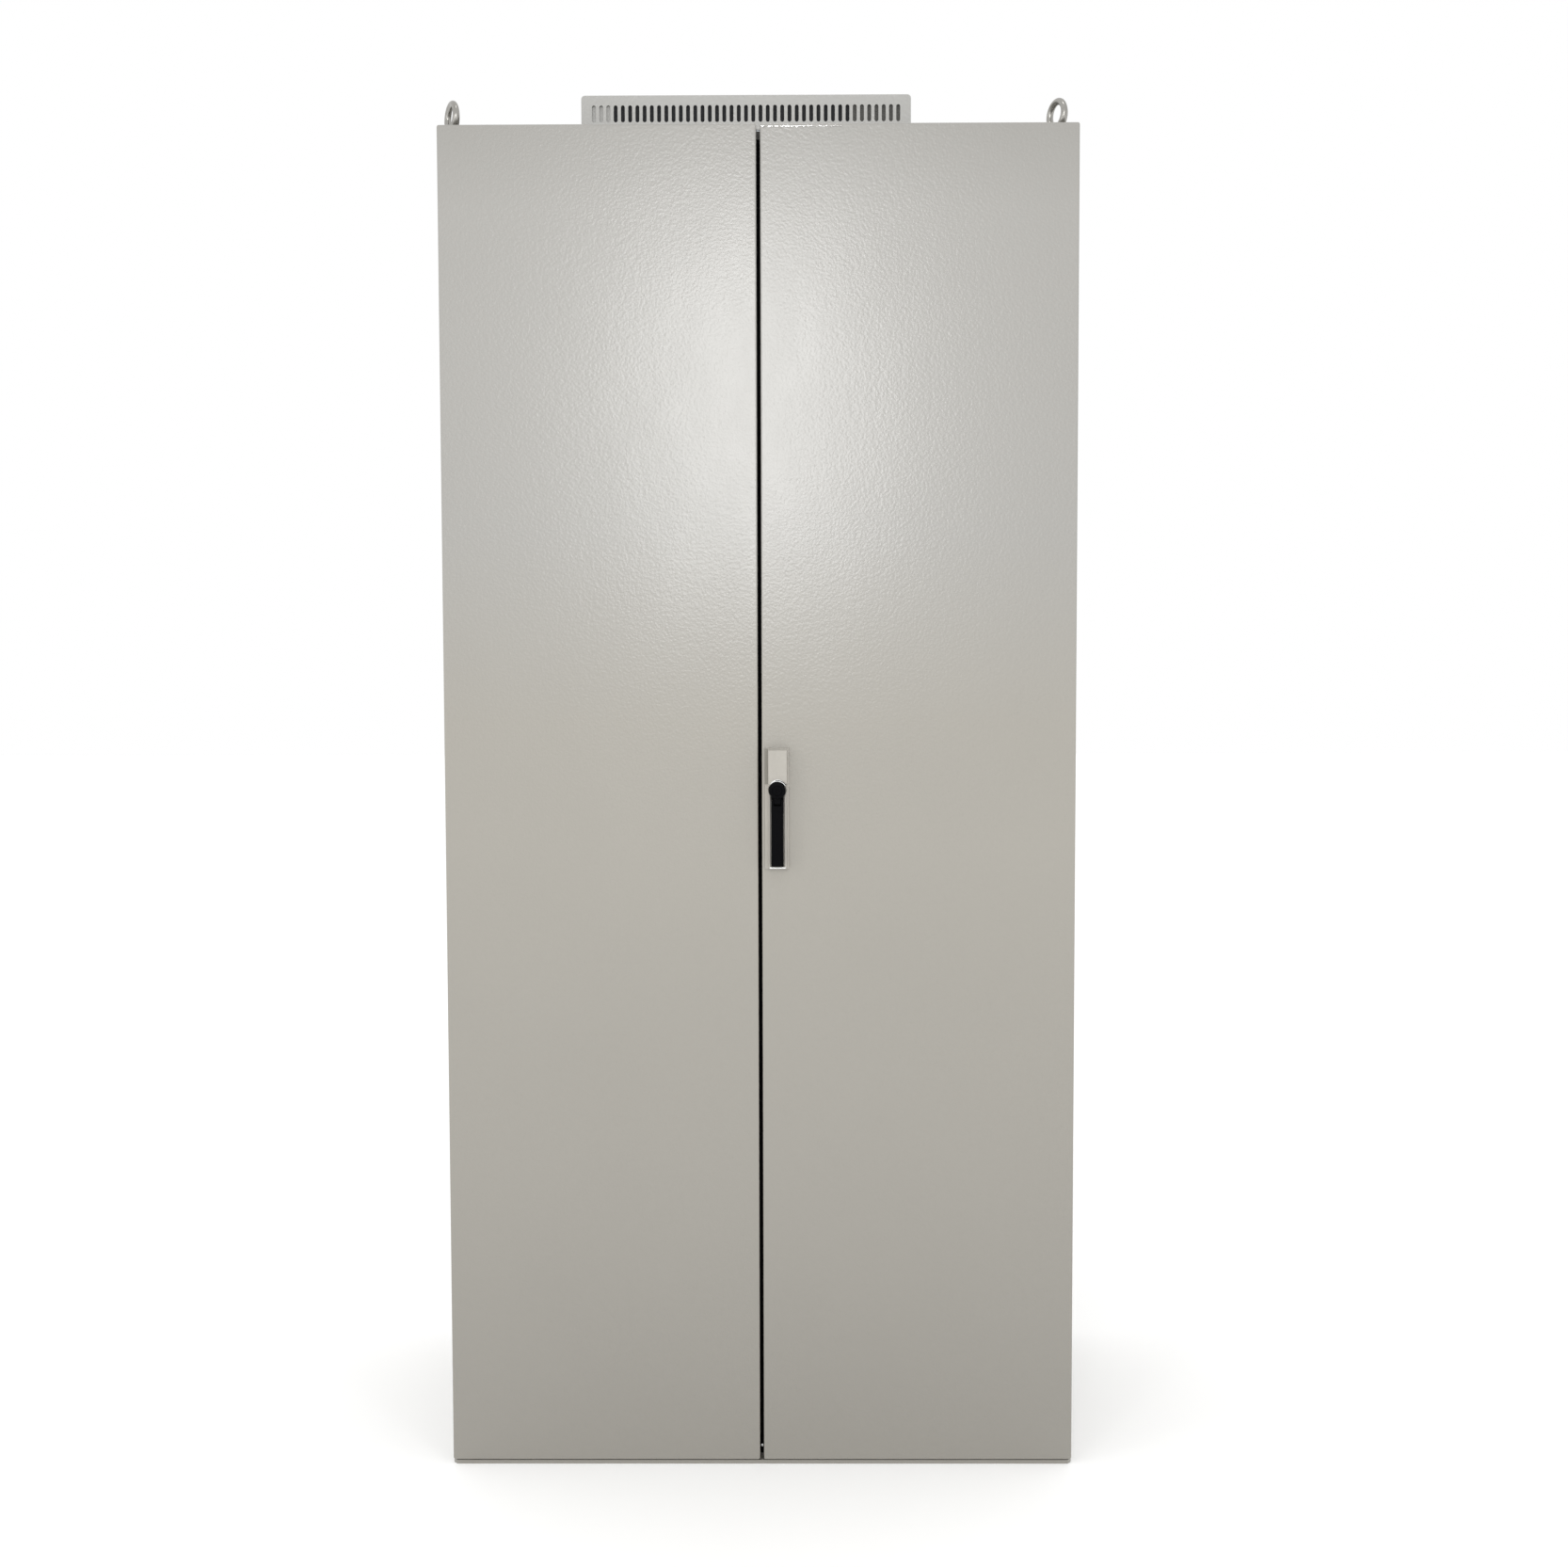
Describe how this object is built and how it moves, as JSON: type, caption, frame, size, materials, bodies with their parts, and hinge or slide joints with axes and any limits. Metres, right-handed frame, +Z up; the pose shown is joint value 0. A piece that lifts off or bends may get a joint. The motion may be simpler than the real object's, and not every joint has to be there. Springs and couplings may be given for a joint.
{
  "type": "variable frequency drive",
  "caption": "Floor-standing variable frequency drive in a sheet-steel cabinet with hinged doors, a swing handle and lock rods, a slotted roof hood over exhaust fans, and lifting eyes.",
  "frame": {"origin": "on the floor under the middle of the whole object, handle included", "axes": "+Z up, the doors face -Y, +X to the right as seen from the front"},
  "size_m": [1, 0.626, 2.2058],
  "materials": {
    "cabinet_paint": "satin orange-peel powder coat",
    "hood_paint": "satin powder coat",
    "black_paint": "matt powder coat",
    "galvanised_steel": "galvanised sheet",
    "zinc_plate": "bright zinc plate",
    "cream_plastic": "fine texture",
    "black_plastic": "satin moulded",
    "grey_plastic": "fine texture",
    "foam_seal": "matt foam",
    "aluminium": "extruded",
    "copper": "bare copper",
    "laminated_core": "varnished laminations",
    "green_key": "gloss",
    "red_key": "gloss"
  },
  "bodies": {
    "cabinet": {"base_frame": "cabinet_paint", "roof_plate": "cabinet_paint", "left_side_panel": "cabinet_paint", "right_side_panel": "cabinet_paint", "rear_panel": "cabinet_paint", "hood_front_grille": "hood_paint", "hood_cover": "hood_paint", "hood_rear_grille": "hood_paint", "gland_plate": "galvanised_steel", "roof_frame": "galvanised_steel", "front_left_post": "galvanised_steel", "front_right_post": "galvanised_steel", "rear_left_post": "galvanised_steel", "rear_right_post": "galvanised_steel", "mounting_plate": "galvanised_steel", "drive_chassis": "galvanised_steel", "center_post": "black_paint", "lower_keeper": "black_paint", "upper_keeper": "black_paint", "left_hinge_rail": "zinc_plate", "right_hinge_rail": "zinc_plate", "front_left_eye_bolt": "zinc_plate", "front_right_eye_bolt": "zinc_plate", "rear_left_eye_bolt": "zinc_plate", "rear_right_eye_bolt": "zinc_plate", "drive_cover": "cream_plastic", "fuse_block": "cream_plastic", "terminal_strip": "cream_plastic", "left_roof_fan_housing": "black_plastic", "right_roof_fan_housing": "black_plastic", "drive_fan_housing": "black_plastic", "main_breaker": "black_plastic", "capacitor_bank": "grey_plastic", "drive_keypad": "grey_plastic", "main_contactor": "grey_plastic", "drive_heat_sink": "aluminium", "earth_bar": "copper", "reactor_coil_1": "copper", "reactor_coil_2": "copper", "reactor_coil_3": "copper", "reactor_core": "laminated_core"},
    "left_door": {"left_door_panel": "cabinet_paint", "left_door_gasket": "foam_seal", "left_door_frame": "galvanised_steel"},
    "right_door": {"right_door_panel": "cabinet_paint", "right_door_gasket": "foam_seal", "right_door_frame": "galvanised_steel", "handle_housing": "cream_plastic", "lock_case": "galvanised_steel"},
    "handle_turn": {"handle_head": "black_plastic"},
    "lever": {"handle_lever": "black_plastic"},
    "upper_rod": {"upper_lock_rod": "zinc_plate"},
    "lower_rod": {"lower_lock_rod": "zinc_plate"},
    "left_roof_rotor": {"left_roof_fan_rotor": "grey_plastic"},
    "right_roof_rotor": {"right_roof_fan_rotor": "grey_plastic"},
    "drive_rotor": {"drive_fan_rotor": "grey_plastic"},
    "toggle": {"breaker_toggle": "grey_plastic"},
    "armature": {"contactor_armature": "black_plastic"},
    "run_button": {"run_key": "green_key"},
    "stop_button": {"stop_key": "red_key"}
  },
  "joints": [
    {"name": "left_door_hinge", "type": "hinge", "parent": "cabinet", "child": "left_door", "pos_m": [-0.492, -0.279, 0], "axis": [0, 0, -1], "range_deg": [0, 115]},
    {"name": "right_door_hinge", "type": "hinge", "parent": "cabinet", "child": "right_door", "pos_m": [0.492, -0.279, 0], "axis": [0, 0, 1], "range_deg": [0, 115]},
    {"name": "handle_turn", "type": "hinge", "parent": "right_door", "child": "handle_turn", "pos_m": [0.0275, -0.287, 1.093], "axis": [0, -1, 0], "range_deg": [0, 90]},
    {"name": "lever_swing", "type": "hinge", "parent": "handle_turn", "child": "lever", "pos_m": [0.0275, -0.3055, 1.075], "axis": [-1, 0, 0], "range_deg": [0, 40]},
    {"name": "upper_rod_slide", "type": "slide", "parent": "right_door", "child": "upper_rod", "axis": [0, 0, -1], "range_m": [0, 0.011]},
    {"name": "lower_rod_slide", "type": "slide", "parent": "right_door", "child": "lower_rod", "axis": [0, 0, 1], "range_m": [0, 0.011]},
    {"name": "left_roof_fan_spin", "type": "hinge", "parent": "cabinet", "child": "left_roof_rotor", "pos_m": [-0.146, 0.013, 2.1], "axis": [0, 0, 1], "continuous": true},
    {"name": "right_roof_fan_spin", "type": "hinge", "parent": "cabinet", "child": "right_roof_rotor", "pos_m": [0.104, 0.013, 2.1], "axis": [0, 0, 1], "continuous": true},
    {"name": "drive_fan_spin", "type": "hinge", "parent": "cabinet", "child": "drive_rotor", "pos_m": [-0.14, 0.0677, 0.93], "axis": [0, 0, 1], "continuous": true},
    {"name": "breaker_toggle_throw", "type": "hinge", "parent": "cabinet", "child": "toggle", "pos_m": [0.28, 0.1137, 1.65], "axis": [1, 0, 0], "range_deg": [0, 40]},
    {"name": "armature_pull_in", "type": "slide", "parent": "cabinet", "child": "armature", "axis": [0, 1, 0], "range_m": [0, 0.005], "stiffness_N_per_m": 400},
    {"name": "run_key_press", "type": "slide", "parent": "cabinet", "child": "run_button", "axis": [0, 1, 0], "range_m": [0, 0.002], "stiffness_N_per_m": 300},
    {"name": "stop_key_press", "type": "slide", "parent": "cabinet", "child": "stop_button", "axis": [0, 1, 0], "range_m": [0, 0.002], "stiffness_N_per_m": 300}
  ],
  "couplings": [
    {"joint": "upper_rod_slide", "follows": "handle_turn", "m_per_rad": 0.007},
    {"joint": "lower_rod_slide", "follows": "handle_turn", "m_per_rad": 0.007}
  ]
}
